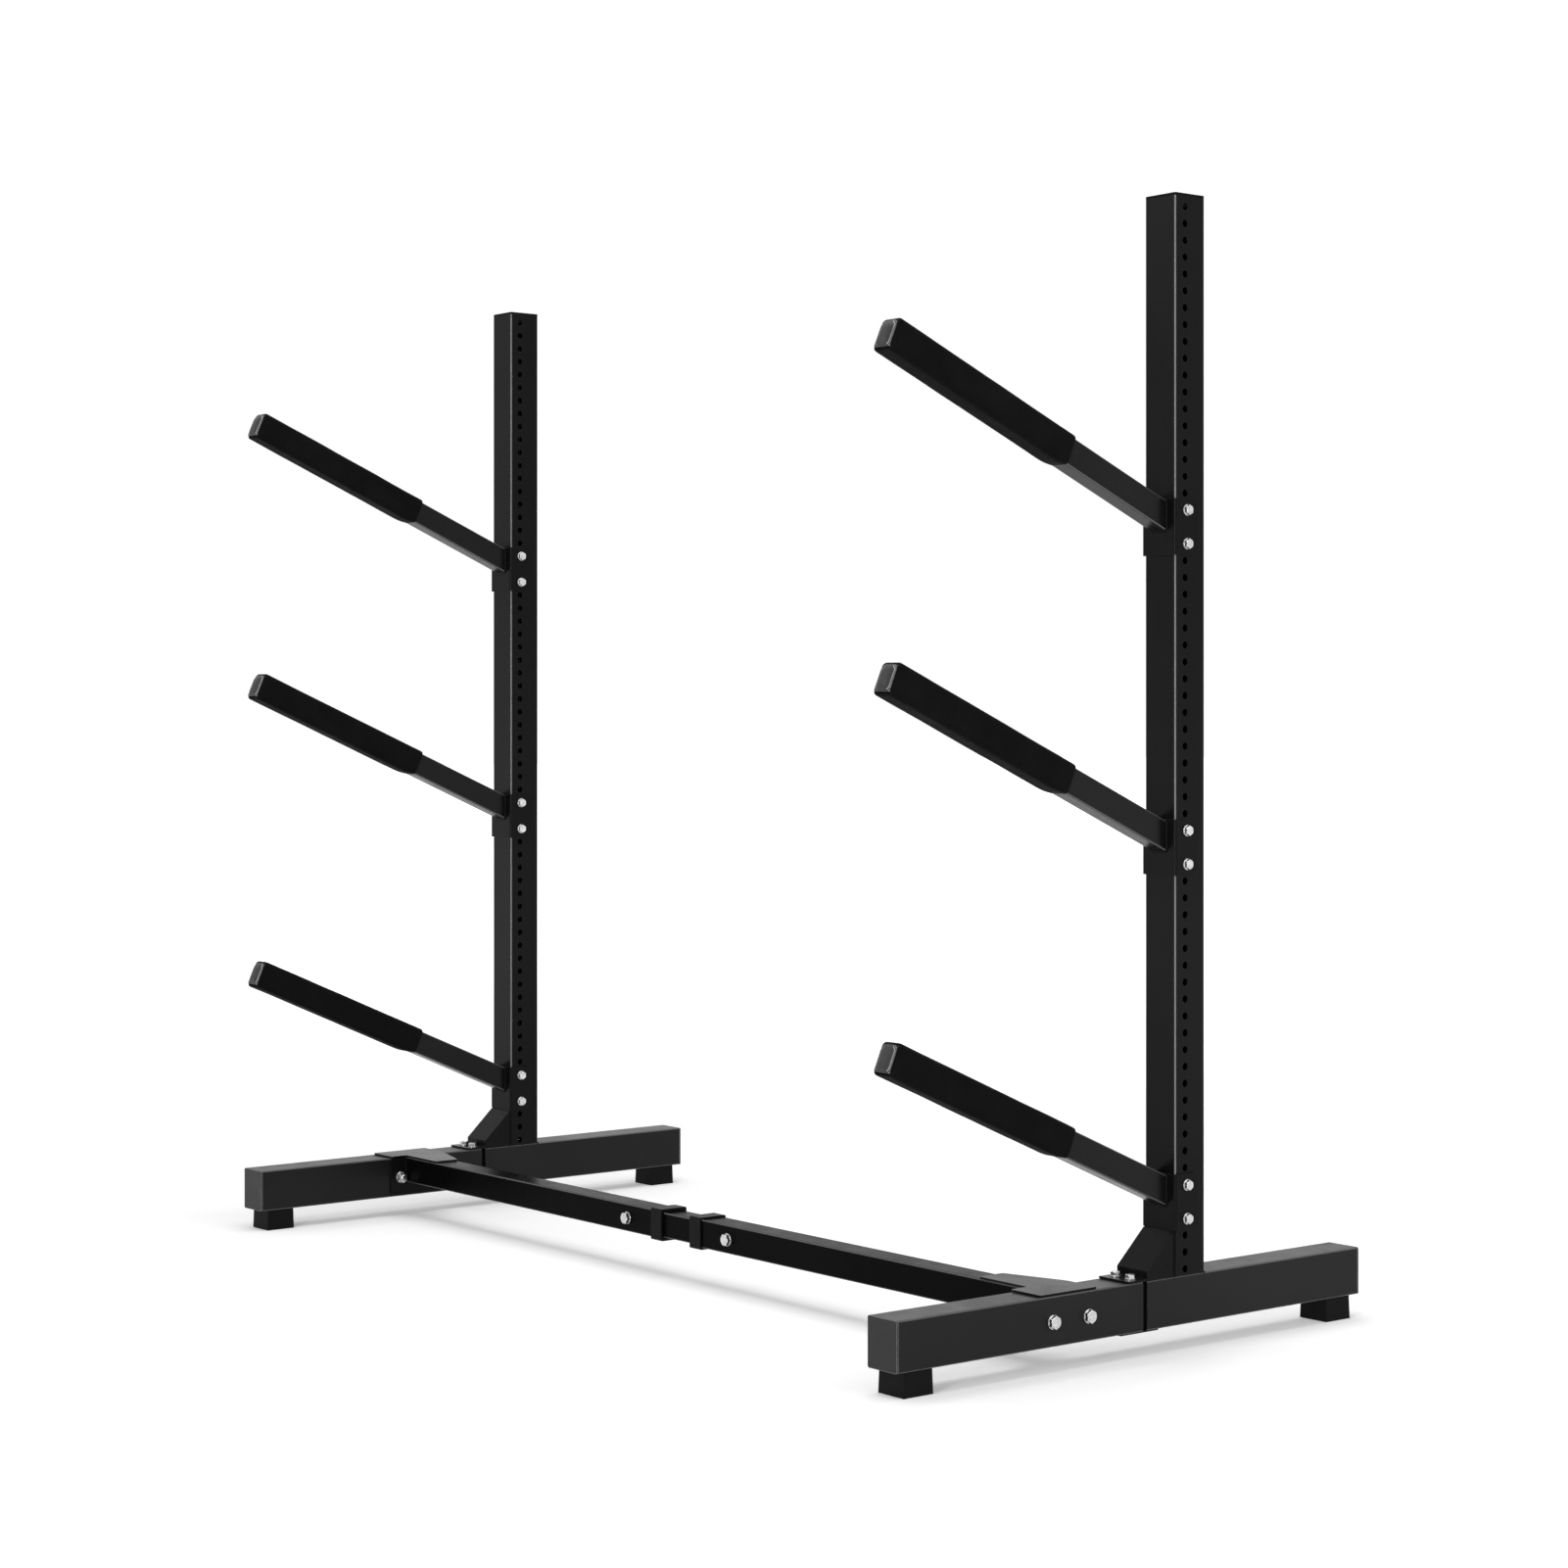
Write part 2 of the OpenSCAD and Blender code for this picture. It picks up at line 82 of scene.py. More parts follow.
FLOOR_HALF = 40.0
FLOOR_CELLS = 8
FLOOR_TONE = (0.92, 0.92, 0.92, 1)
FLOOR_ROUGHNESS = 0.9
FLOOR_SPECULAR = 0.1
FLOOR_FADE = (1.8, 6.0)
FLOOR_LIFT = 0.22
ROOM_LIGHT = 0.42
LAMP_AIM = Vector((0, 0, 0.7))
SOFT_BOXES = (
    # name, place, width and height, power in watts
    ("front left box", (-2.6, -4.4, 3.6), (2.6, 2.6), 24),
    ("right box", (5.2, 0.8, 3.0), (2.0, 2.4), 45),
    ("overhead box", (0.0, 0.2, 5.2), (4.0, 4.0), 130),
    ("strip beside the camera", (2.6, -4.6, 1.3), (0.45, 2.4), 95),
)


def add_math(tree, operation, first, second):
    """Math node; each operand is a socket or a number."""
    made = tree.nodes.new("ShaderNodeMath")
    made.operation = operation
    for i, operand in enumerate((first, second)):
        if isinstance(operand, (int, float)):
            made.inputs[i].default_value = operand
        else:
            tree.links.new(operand, made.inputs[i])
    return made.outputs[0]


def add_range(tree, value, low, high, to_low, to_high):
    """Maps a value from one range to another and stops at its ends."""
    made = tree.nodes.new("ShaderNodeMapRange")
    made.inputs["From Min"].default_value = low
    made.inputs["From Max"].default_value = high
    made.inputs["To Min"].default_value = to_low
    made.inputs["To Max"].default_value = to_high
    tree.links.new(value, made.inputs["Value"])
    return made.outputs["Result"]


def find_shown_rays(tree):
    """1 where the camera looks straight at something, or sees it in a gloss or through glass."""
    path = tree.nodes.new("ShaderNodeLightPath")
    seen = add_math(tree, "MAXIMUM", path.outputs["Is Camera Ray"], path.outputs["Is Glossy Ray"])
    return add_math(tree, "MAXIMUM", seen, path.outputs["Is Transmission Ray"])


def set_white_room():
    """White wherever the camera or a shiny surface looks past the rack, plainer light otherwise."""
    world = bpy.data.worlds.new("white room")
    bpy.context.scene.world = world
    world.use_nodes = True
    tree = world.node_tree
    tree.nodes.clear()
    background = tree.nodes.new("ShaderNodeBackground")
    background.inputs["Color"].default_value = (1, 1, 1, 1)
    strength = add_range(tree, find_shown_rays(tree), 0, 1, ROOM_LIGHT, 1)
    tree.links.new(strength, background.inputs["Strength"])
    output = tree.nodes.new("ShaderNodeOutputWorld")
    tree.links.new(background.outputs["Background"], output.inputs["Surface"])


def lay_floor():
    """One large pale sheet at floor level; where the camera or a gloss sees it, it fades to white."""
    sheet = bmesh.new()
    bmesh.ops.create_grid(sheet, x_segments=FLOOR_CELLS, y_segments=FLOOR_CELLS, size=FLOOR_HALF)
    mesh = bpy.data.meshes.new("studio_floor")
    sheet.to_mesh(mesh)
    sheet.free()
    floor = bpy.data.objects.new("studio_floor", mesh)
    bpy.context.collection.objects.link(floor)

    paint = bpy.data.materials.new("white floor")
    paint.use_nodes = True
    tree = paint.node_tree
    surface = tree.nodes["Principled BSDF"]
    surface.inputs["Base Color"].default_value = FLOOR_TONE
    surface.inputs["Roughness"].default_value = FLOOR_ROUGHNESS
    surface.inputs["Specular IOR Level"].default_value = FLOOR_SPECULAR
    surface.inputs["Emission Strength"].default_value = 1.0
    where = tree.nodes.new("ShaderNodeTexCoord")
    away = tree.nodes.new("ShaderNodeVectorMath")
    away.operation = "LENGTH"
    tree.links.new(where.outputs["Object"], away.inputs[0])
    fade = add_range(tree, away.outputs["Value"], *FLOOR_FADE, FLOOR_LIFT, 1)
    lift = add_math(tree, "MULTIPLY", find_shown_rays(tree), fade)
    tree.links.new(lift, surface.inputs["Emission Color"])
    mesh.materials.append(paint)
    return floor


def hang_soft_box(name, place, size, power):
    """A flat lamp that faces the middle of the rack."""
    light = bpy.data.lights.new(name, "AREA")
    light.shape = "RECTANGLE"
    light.size, light.size_y = size
    light.energy = power
    lamp = bpy.data.objects.new(name, light)
    lamp.location = place
    lamp.rotation_euler = (LAMP_AIM - Vector(place)).to_track_quat("-Z", "Y").to_euler()
    bpy.context.collection.objects.link(lamp)


set_white_room()
lay_floor()
for soft_box in SOFT_BOXES:
    hang_soft_box(*soft_box)


# ---------------------------------------------------------------------------------------------
# Foot blocks. Four moulded rubber blocks, slightly wider at the floor, that the feet stand on.
# The rubber is matte, with a fine grain from the mould and a little dust in it.

SIDES = ("left", "right")
SHARP_EDGE = math.radians(32)
SEED_SPREAD = (("X", 1.0), ("Y", 0.61), ("Z", 0.37))
SMUDGES_PER_METRE = 17.0
SMUDGE_SWIRL = 0.8
SMUDGE_SHINE = 0.1
CHIPS_PER_METRE = 130.0
EDGE_SAMPLES = 4
# where each mask starts and where it is full
BLOTCH_RANGE = (0.3, 0.7)
SMUDGE_RANGE = (0.45, 0.75)
EDGE_RANGE = (0.995, 0.86)
CHIP_RANGE = (0.42, 0.62)


def new_group(name, inputs, outputs):
    """Empty shader node group; inputs are (name, default), outputs are (name, socket type)."""
    group = bpy.data.node_groups.new(name, "ShaderNodeTree")
    for socket, default in inputs:
        made = group.interface.new_socket(name=socket, in_out="INPUT", socket_type="NodeSocketFloat")
        made.default_value = default
    for socket, kind in outputs:
        group.interface.new_socket(name=socket, in_out="OUTPUT", socket_type=kind)
    entry = group.nodes.new("NodeGroupInput")
    leave = group.nodes.new("NodeGroupOutput")
    return group, entry, leave


def add_noise(tree, coordinates, detail, roughness):
    """Noise texture on the given coordinates; its scale is set or linked by the caller."""
    made = tree.nodes.new("ShaderNodeTexNoise")
    made.inputs["Detail"].default_value = detail
    made.inputs["Roughness"].default_value = roughness
    tree.links.new(coordinates, made.inputs["Vector"])
    return made


def place_on_piece(tree, seed=None):
    """Coordinates in metres that ride with the piece; a seed shifts them, so no two finishes look alike."""
    where = tree.nodes.new("ShaderNodeTexCoord").outputs["Object"]
    if seed is None:
        return where
    spread = tree.nodes.new("ShaderNodeCombineXYZ")
    for axis, factor in SEED_SPREAD:
        tree.links.new(add_math(tree, "MULTIPLY", seed, factor), spread.inputs[axis])
    shift = tree.nodes.new("ShaderNodeVectorMath")
    shift.operation = "ADD"
    tree.links.new(where, shift.inputs[0])
    tree.links.new(spread.outputs[0], shift.inputs[1])
    return shift.outputs[0]


def make_skin_group():
    """Grain, blotches and smudges of a coated or moulded surface, each as a value from 0 to 1."""
    group, entry, leave = new_group(
        "surface skin",
        (("Grain Size", 0.0012), ("Blotch Size", 0.15), ("Seed", 0.0)),
        (("Grain", "NodeSocketFloat"), ("Blotch", "NodeSocketFloat"), ("Smudge", "NodeSocketFloat")),
    )
    where = place_on_piece(group, entry.outputs["Seed"])
    grain = add_noise(group, where, detail=2.0, roughness=0.5)
    group.links.new(add_math(group, "DIVIDE", 1.0, entry.outputs["Grain Size"]), grain.inputs["Scale"])
    blotch = add_noise(group, where, detail=4.0, roughness=0.55)
    group.links.new(add_math(group, "DIVIDE", 1.0, entry.outputs["Blotch Size"]), blotch.inputs["Scale"])
    smudge = add_noise(group, where, detail=6.0, roughness=0.65)
    smudge.inputs["Scale"].default_value = SMUDGES_PER_METRE
    smudge.inputs["Distortion"].default_value = SMUDGE_SWIRL
    group.links.new(grain.outputs["Fac"], leave.inputs["Grain"])
    group.links.new(add_range(group, blotch.outputs["Fac"], *BLOTCH_RANGE, 0, 1), leave.inputs["Blotch"])
    group.links.new(add_range(group, smudge.outputs["Fac"], *SMUDGE_RANGE, 0, 1), leave.inputs["Smudge"])
    return group


def make_edge_group():
    """Softened corners: the normal of a small round on each edge, and a whole and a broken mask along it."""
    group, entry, leave = new_group(
        "edge softening",
        (("Round", 0.0008), ("Seed", 0.0)),
        (("Normal", "NodeSocketVector"), ("Line", "NodeSocketFloat"), ("Rub", "NodeSocketFloat")),
    )
    bevel = group.nodes.new("ShaderNodeBevel")
    bevel.samples = EDGE_SAMPLES
    group.links.new(entry.outputs["Round"], bevel.inputs["Radius"])
    facing = group.nodes.new("ShaderNodeNewGeometry")
    turn = group.nodes.new("ShaderNodeVectorMath")
    turn.operation = "DOT_PRODUCT"
    group.links.new(bevel.outputs["Normal"], turn.inputs[0])
    group.links.new(facing.outputs["Normal"], turn.inputs[1])
    along = add_range(group, turn.outputs["Value"], *EDGE_RANGE, 0, 1)
    chips = add_noise(group, place_on_piece(group, entry.outputs["Seed"]), detail=5.0, roughness=0.7)
    chips.inputs["Scale"].default_value = CHIPS_PER_METRE
    broken = add_range(group, chips.outputs["Fac"], *CHIP_RANGE, 0, 1)
    group.links.new(bevel.outputs["Normal"], leave.inputs["Normal"])
    group.links.new(along, leave.inputs["Line"])
    group.links.new(add_math(group, "MULTIPLY", along, broken), leave.inputs["Rub"])
    return group


skin_group = make_skin_group()
edge_group = make_edge_group()


def place_group(tree, group, **values):
    """Puts a group into a material with its own values; underscores stand for spaces."""
    made = tree.nodes.new("ShaderNodeGroup")
    made.node_tree = group
    for name, value in values.items():
        made.inputs[name.replace("_", " ")].default_value = value
    return made


def blend_colours(tree, mask, low, high):
    """Colour that goes from low to high with a mask; either is a colour or a socket."""
    made = tree.nodes.new("ShaderNodeMix")
    made.data_type = "RGBA"
    tree.links.new(mask, made.inputs["Factor"])
    for socket, colour in (("A", low), ("B", high)):
        target = next(s for s in made.inputs if s.name == socket and s.type == "RGBA")
        if isinstance(colour, tuple):
            target.default_value = (*colour, 1)
        else:
            tree.links.new(colour, target)
    return next(s for s in made.outputs if s.type == "RGBA")


def start_material(name, specular):
    """New node material with its Principled shader."""
    made = bpy.data.materials.new(name)
    made.use_nodes = True
    surface = made.node_tree.nodes["Principled BSDF"]
    surface.inputs["Specular IOR Level"].default_value = specular
    return made, made.node_tree, surface


def bump_surface(tree, surface, height, strength, distance, normal=None):
    """Feeds a height in metres into the shader's normal."""
    bump = tree.nodes.new("ShaderNodeBump")
    bump.inputs["Strength"].default_value = strength
    bump.inputs["Distance"].default_value = distance
    tree.links.new(height, bump.inputs["Height"])
    if normal is not None:
        tree.links.new(normal, bump.inputs["Normal"])
    tree.links.new(bump.outputs["Normal"], surface.inputs["Normal"])


def make_moulded(name, dark, light, edge_tone, roughness, grain_size, edge_round, seed, specular, edge="Rub"):
    """Moulded black rubber or plastic: fine grain, slow changes of tone, paler along its edges: worn where
    the broken mask is used, a painted highlight where the whole edge line is used.
    """
    made, tree, surface = start_material(name, specular)
    skin = place_group(tree, skin_group, Grain_Size=grain_size, Blotch_Size=0.05, Seed=seed)
    soft = place_group(tree, edge_group, Round=edge_round, Seed=seed)
    tone = blend_colours(tree, skin.outputs["Blotch"], dark, light)
    mixed = blend_colours(tree, soft.outputs[edge], tone, edge_tone)
    tree.links.new(mixed, surface.inputs["Base Color"])
    rough = add_range(tree, skin.outputs["Smudge"], 0, 1, roughness, roughness - SMUDGE_SHINE)
    tree.links.new(rough, surface.inputs["Roughness"])
    bump_surface(
        tree, surface, skin.outputs["Grain"], strength=0.35, distance=0.0002, normal=soft.outputs["Normal"]
    )
    return made


def coat(node, material):
    """Gives a carried-over solid its finish, smooth round its corners and sharp at its edges."""
    mesh = nodes[node].data
    mesh.materials.clear()
    mesh.materials.append(material)
    mesh.shade_smooth()
    mesh.set_sharp_from_angle(angle=SHARP_EDGE)


block_rubber = make_moulded(
    "block rubber", dark=(0.004, 0.004, 0.004), light=(0.0065, 0.0065, 0.0065),
    edge_tone=(0.022, 0.022, 0.022), roughness=0.6, grain_size=0.0009, edge_round=0.0012, seed=3.1,
    specular=0.07
)
for side in SIDES:
    coat(f"{side}_foot_blocks", block_rubber)


# ---------------------------------------------------------------------------------------------
# Feet. Each foot is two lengths of rectangular steel tube, cut, deburred and powder coated
# black, slid over a shorter tube that shows as a dark band in the seam.

# Painted highlight: the colour below is laid along the tubes' rounded corners, standing in for the bright
# line that light draws down them.
CORNER_HIGHLIGHT_TONE = (0.12, 0.12, 0.122)
CORNER_SHINE = 0.08
RUBBED_TONE = (0.034, 0.034, 0.036)
SMUDGE_DULL = 0.09
CORNER_RANGE = (0.985, 0.80)
HOLE_RANGE = (0.1, 0.3)


def make_corner_group():
    """Rounded corners of a straight tube: 0 on its flat faces, 1 along the middle of each corner.

    Tilt is the angle of a tube that doesn't lie along an axis. Holes Along X, at 1, keeps the mask
    out of holes that are drilled that way.
    """
    group, entry, leave = new_group(
        "tube corners", (("Tilt", 0.0), ("Holes Along X", 0.0)), (("Corner", "NodeSocketFloat"),)
    )
    where = group.nodes.new("ShaderNodeTexCoord")
    level = group.nodes.new("ShaderNodeVectorRotate")
    level.rotation_type = "X_AXIS"
    group.links.new(where.outputs["Normal"], level.inputs["Vector"])
    group.links.new(entry.outputs["Tilt"], level.inputs["Angle"])
    size = group.nodes.new("ShaderNodeVectorMath")
    size.operation = "ABSOLUTE"
    group.links.new(level.outputs["Vector"], size.inputs[0])
    split = group.nodes.new("ShaderNodeSeparateXYZ")
    group.links.new(size.outputs["Vector"], split.inputs["Vector"])
    across = add_math(group, "MAXIMUM", split.outputs["X"], split.outputs["Y"])
    facing = add_math(group, "MAXIMUM", across, split.outputs["Z"])
    corner = add_range(group, facing, *CORNER_RANGE, 0, 1)
    in_hole = add_range(group, split.outputs["X"], *HOLE_RANGE, 1, 0)
    left_out = add_math(group, "MULTIPLY", entry.outputs["Holes Along X"], in_hole)
    kept = add_math(group, "SUBTRACT", 1.0, left_out)
    group.links.new(add_math(group, "MULTIPLY", corner, kept), leave.inputs["Corner"])
    return group


corner_group = make_corner_group()


def make_powder_coat(
    name, dark, light, roughness, seed, specular=0.16, peel=0.5, tube_tilt=None,
    corner_highlight_tone=CORNER_HIGHLIGHT_TONE, holes_along_x=1.0, edge_tone=RUBBED_TONE
):
    """Glossy black powder coat: orange peel, thin at sharp edges, glossier round a tube's corners and
    coloured pale there as a painted highlight.
    """
    made, tree, surface = start_material(name, specular)
    skin = place_group(tree, skin_group, Grain_Size=0.0016, Blotch_Size=0.22, Seed=seed)
    edge = place_group(tree, edge_group, Round=0.0009, Seed=seed)
    tone = blend_colours(tree, skin.outputs["Blotch"], dark, light)
    mixed = blend_colours(tree, edge.outputs["Rub"], tone, edge_tone)
    rough = add_range(tree, skin.outputs["Smudge"], 0, 1, roughness, roughness + SMUDGE_DULL)
    if tube_tilt is not None:
        tube = place_group(tree, corner_group, Tilt=tube_tilt, Holes_Along_X=holes_along_x)
        corner = tube.outputs["Corner"]
        # Painted highlight: the rounded corners are coloured pale where a lamp's bright line would fall.
        mixed = blend_colours(tree, corner, mixed, corner_highlight_tone)
        rough = add_math(tree, "SUBTRACT", rough, add_math(tree, "MULTIPLY", corner, CORNER_SHINE))
    tree.links.new(mixed, surface.inputs["Base Color"])
    tree.links.new(rough, surface.inputs["Roughness"])
    bump_surface(
        tree, surface, skin.outputs["Grain"], strength=peel, distance=0.00012, normal=edge.outputs["Normal"]
    )
    return made


foot_coat = make_powder_coat(
    "foot powder coat", dark=(0.0052, 0.0052, 0.0055), light=(0.0080, 0.0080, 0.0083),
    roughness=0.33, seed=11.0, tube_tilt=0.0
)
# Painted shade: the splice tube is coloured near black and barely glossy, standing in for the shade inside
# the seam.
splice_shade_coat = make_powder_coat(
    "splice powder coat", dark=(0.0010, 0.0010, 0.0010), light=(0.0016, 0.0016, 0.0016),
    roughness=0.5, seed=12.0, specular=0.02
)
# Painted highlight: the plugs' whole edge line is coloured pale, standing in for the bright line that light
# draws round the foot's end.
foot_plug = make_moulded(
    "foot plug plastic", dark=(0.010, 0.010, 0.0103), light=(0.015, 0.015, 0.0153),
    edge_tone=(0.26, 0.26, 0.263), roughness=0.45, grain_size=0.0007, edge_round=0.0019, seed=5.3,
    specular=0.25, edge="Line"
)
for side in SIDES:
    coat(f"{side}_front_foot_tube", foot_coat)
    coat(f"{side}_rear_foot_tube", foot_coat)
    coat(f"{side}_foot_splice_tube", splice_shade_coat)
    coat(f"{side}_foot_end_caps", foot_plug)


# ---------------------------------------------------------------------------------------------
# Posts. Square steel tube, punched with a column of holes through both sides before coating and
# welded to the rear half of the foot; a plastic plug closes the top.

# Painted highlight: the posts' corners are coloured paler still, standing in for the bright line down them.
POST_CORNER_HIGHLIGHT_TONE = (0.26, 0.26, 0.262)
BEAD_RADIUS = 0.0024
BEAD_PITCH = 0.0042
BEAD_SIDES = 8
RINGS_PER_PUDDLE = 4
PUDDLE_LOW = 0.86
PUDDLE_RISE = 0.22
BEAD_END = 0.5

post_coat = make_powder_coat(
    "post powder coat", dark=(0.0032, 0.0032, 0.0034), light=(0.0050, 0.0050, 0.0052),
    roughness=0.20, seed=21.0, specular=0.08, tube_tilt=0.0, corner_highlight_tone=POST_CORNER_HIGHLIGHT_TONE
)
post_plug = make_moulded(
    "post plug plastic", dark=(0.0020, 0.0020, 0.0021), light=(0.0034, 0.0034, 0.0035),
    edge_tone=(0.014, 0.014, 0.0145), roughness=0.5, grain_size=0.0007, edge_round=0.0008, seed=7.7,
    specular=0.05
)
weld_coat = make_powder_coat(
    "weld powder coat", dark=(0.0026, 0.0026, 0.0027), light=(0.0040, 0.0040, 0.0042),
    roughness=0.36, seed=31.0, specular=0.06, peel=0.3, edge_tone=(0.008, 0.008, 0.0083)
)


def lay_bead(shape, path, closed=False):
    """Weld bead along a path: a thin round strand, swollen where each puddle of metal set."""
    steps = []
    points = list(path) + ([path[0]] if closed else [])
    for start, end in zip(points, points[1:]):
        count = max(2, round((end - start).length / (BEAD_PITCH / RINGS_PER_PUDDLE)))
        steps += [start.lerp(end, i / count) for i in range(count)]
    if not closed:
        steps.append(points[-1])
    travelled = 0.0
    rings = []
    for i, here in enumerate(steps):
        before = steps[i - 1] if i or closed else here
        after = steps[(i + 1) % len(steps)] if i + 1 < len(steps) or closed else here
        along = (after - before).normalized()
        side = along.orthogonal().normalized()
        up = along.cross(side)
        travelled += (here - before).length if i else 0.0
        phase = (travelled / BEAD_PITCH) % 1.0
        swell = BEAD_RADIUS * (PUDDLE_LOW + PUDDLE_RISE * math.sin(math.pi * phase))
        if not closed and i in (0, len(steps) - 1):
            swell *= BEAD_END
        rings.append([
            shape.verts.new(here + swell * (math.cos(a) * side + math.sin(a) * up))
            for a in (2 * math.pi * k / BEAD_SIDES for k in range(BEAD_SIDES))
        ])
    pairs = list(zip(rings, rings[1:])) + ([(rings[-1], rings[0])] if closed else [])
    for first, second in pairs:
        offset = min(range(BEAD_SIDES), key=lambda k: (first[0].co - second[k].co).length)
        for k in range(BEAD_SIDES):
            a, b = first[k], first[(k + 1) % BEAD_SIDES]
            c, d = second[(k + 1 + offset) % BEAD_SIDES], second[(k + offset) % BEAD_SIDES]
            shape.faces.new((a, b, c, d))
    if not closed:
        shape.faces.new(list(reversed(rings[0])))
        shape.faces.new(rings[-1])


def finish_piece(name, shape, material, body, smooth=True):
    """Turns a built shape into a piece that rides with its body."""
    bmesh.ops.recalc_face_normals(shape, faces=shape.faces)
    mesh = bpy.data.meshes.new(name)
    shape.to_mesh(mesh)
    shape.free()
    mesh.materials.append(material)
    if smooth:
        mesh.shade_smooth()
    piece = bpy.data.objects.new(name, mesh)
    bpy.context.collection.objects.link(piece)
    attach(piece, body)
    return piece


for side in SIDES:
    coat(f"{side}_upright", post_coat)
    coat(f"{side}_upright_cap", post_plug)
    low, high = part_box(f"{side}_upright")
    shape = bmesh.new()
    lay_bead(shape, [Vector((low.x, high.y, low.z)), Vector((high.x, high.y, low.z))])
    post_weld = finish_piece(f"{side}_post_weld", shape, weld_coat, f"{side}_frame")


# ---------------------------------------------------------------------------------------------
# Gussets. Steel plate, laser cut, bent into a channel with a sloping web and welded to the post;
# its flange is bolted down through the front half of the foot.

plate_coat = make_powder_coat(
    "plate powder coat", dark=(0.0034, 0.0034, 0.0036), light=(0.0054, 0.0054, 0.0056),
    roughness=0.24, seed=41.0, specular=0.07
)
for side in SIDES:
    coat(f"{side}_gusset", plate_coat)
    low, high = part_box(f"{side}_gusset")
    shape = bmesh.new()
    for x in (low.x, high.x):
        lay_bead(shape, [Vector((x, high.y, low.z)), Vector((x, high.y, high.z))])
    lay_bead(shape, [Vector((low.x, high.y, high.z)), Vector((high.x, high.y, high.z))])
    gusset_weld = finish_piece(f"{side}_gusset_weld", shape, weld_coat, f"{side}_frame")


# ---------------------------------------------------------------------------------------------
# Bolts. Hexagon bolts, washers and nuts, bright zinc plated: M10 through the feet and the crossbar,
# M8 through the posts and the gussets' flanges. The thread past each nut in sight is cut here.

TIERS = ("low", "mid", "top")
# radius and pitch
M8_THREAD = (0.0040, 0.00125)
M10_THREAD = (0.0050, 0.0015)
M8_WASHER_RADIUS = 0.0080
M10_WASHER_RADIUS = 0.0100
THREAD_LENGTH = {"arm_bolts": 0.0050, "bracket_bolts": 0.0030, "crossbar_bolt": 0.0030}
THREAD_CHAMFER = 0.0009
THREAD_STEPS = 18
THREAD_RUN_OUT = 6
THREAD_LEAST = 0.1
THREAD_PROUD = 0.034
THREAD_ROOT = 0.985
THREAD_FLANK = 0.3
ZINC_CLOUDED = (0.46, 0.47, 0.50)
ZINC_CLEAR = (0.68, 0.68, 0.67)
ZINC_RUBBED = (0.88, 0.88, 0.87)
ZINC_ROUGHNESS = (0.22, 0.38)


def make_zinc(name, seed):
    """Bright zinc plate: a cool metal with faint cloudy patches and fine marks from handling."""
    made, tree, surface = start_material(name, specular=0.5)
    surface.inputs["Metallic"].default_value = 1.0
    skin = place_group(tree, skin_group, Grain_Size=0.0006, Blotch_Size=0.006, Seed=seed)
    edge = place_group(tree, edge_group, Round=0.0004, Seed=seed)
    tone = blend_colours(tree, skin.outputs["Blotch"], ZINC_CLOUDED, ZINC_CLEAR)
    mixed = blend_colours(tree, edge.outputs["Rub"], tone, ZINC_RUBBED)
    tree.links.new(mixed, surface.inputs["Base Color"])
    rough = add_range(tree, skin.outputs["Smudge"], 0, 1, *ZINC_ROUGHNESS)
    tree.links.new(rough, surface.inputs["Roughness"])
    bump_surface(
        tree, surface, skin.outputs["Grain"], strength=0.25, distance=0.00006, normal=edge.outputs["Normal"]
    )
    return made


zinc = make_zinc("bright zinc", 51.0)


def wind_thread(shape, end, back, length, thread):
    """One ridge wound from a bolt's end back towards its nut, just proud of the shank."""
    radius, pitch = thread
    across = back.orthogonal().normalized()
    up = back.cross(across)
    turns = (length - THREAD_CHAMFER) / pitch
    rows = []
    for i in range(round(turns * THREAD_STEPS) + 1):
        angle = 2 * math.pi * i / THREAD_STEPS
        out = math.cos(angle) * across + math.sin(angle) * up
        to_go = turns * THREAD_STEPS - i
        fade = min(1.0, i / THREAD_RUN_OUT, to_go / THREAD_RUN_OUT + THREAD_LEAST)
        base = end + (THREAD_CHAMFER + pitch * i / THREAD_STEPS) * back
        crest = radius * (1 + THREAD_PROUD * fade)
        rows.append([
            shape.verts.new(base + radius * THREAD_ROOT * out - THREAD_FLANK * pitch * back),
            shape.verts.new(base + crest * out),
            shape.verts.new(base + radius * THREAD_ROOT * out + THREAD_FLANK * pitch * back),
        ])
    for before, after in zip(rows, rows[1:]):
        for k in range(3):
            shape.faces.new((before[k], before[(k + 1) % 3], after[(k + 1) % 3], after[k]))
    shape.faces.new(list(reversed(rows[0])))
    shape.faces.new(rows[-1])


def add_threads(node, body, ends, back, length, thread):
    """Threads on the bolt ends of one node, as a piece in the same zinc."""
    shape = bmesh.new()
    for end in ends:
        wind_thread(shape, end, back, length, thread)
    threads = finish_piece(f"{node}_threads", shape, zinc, body)


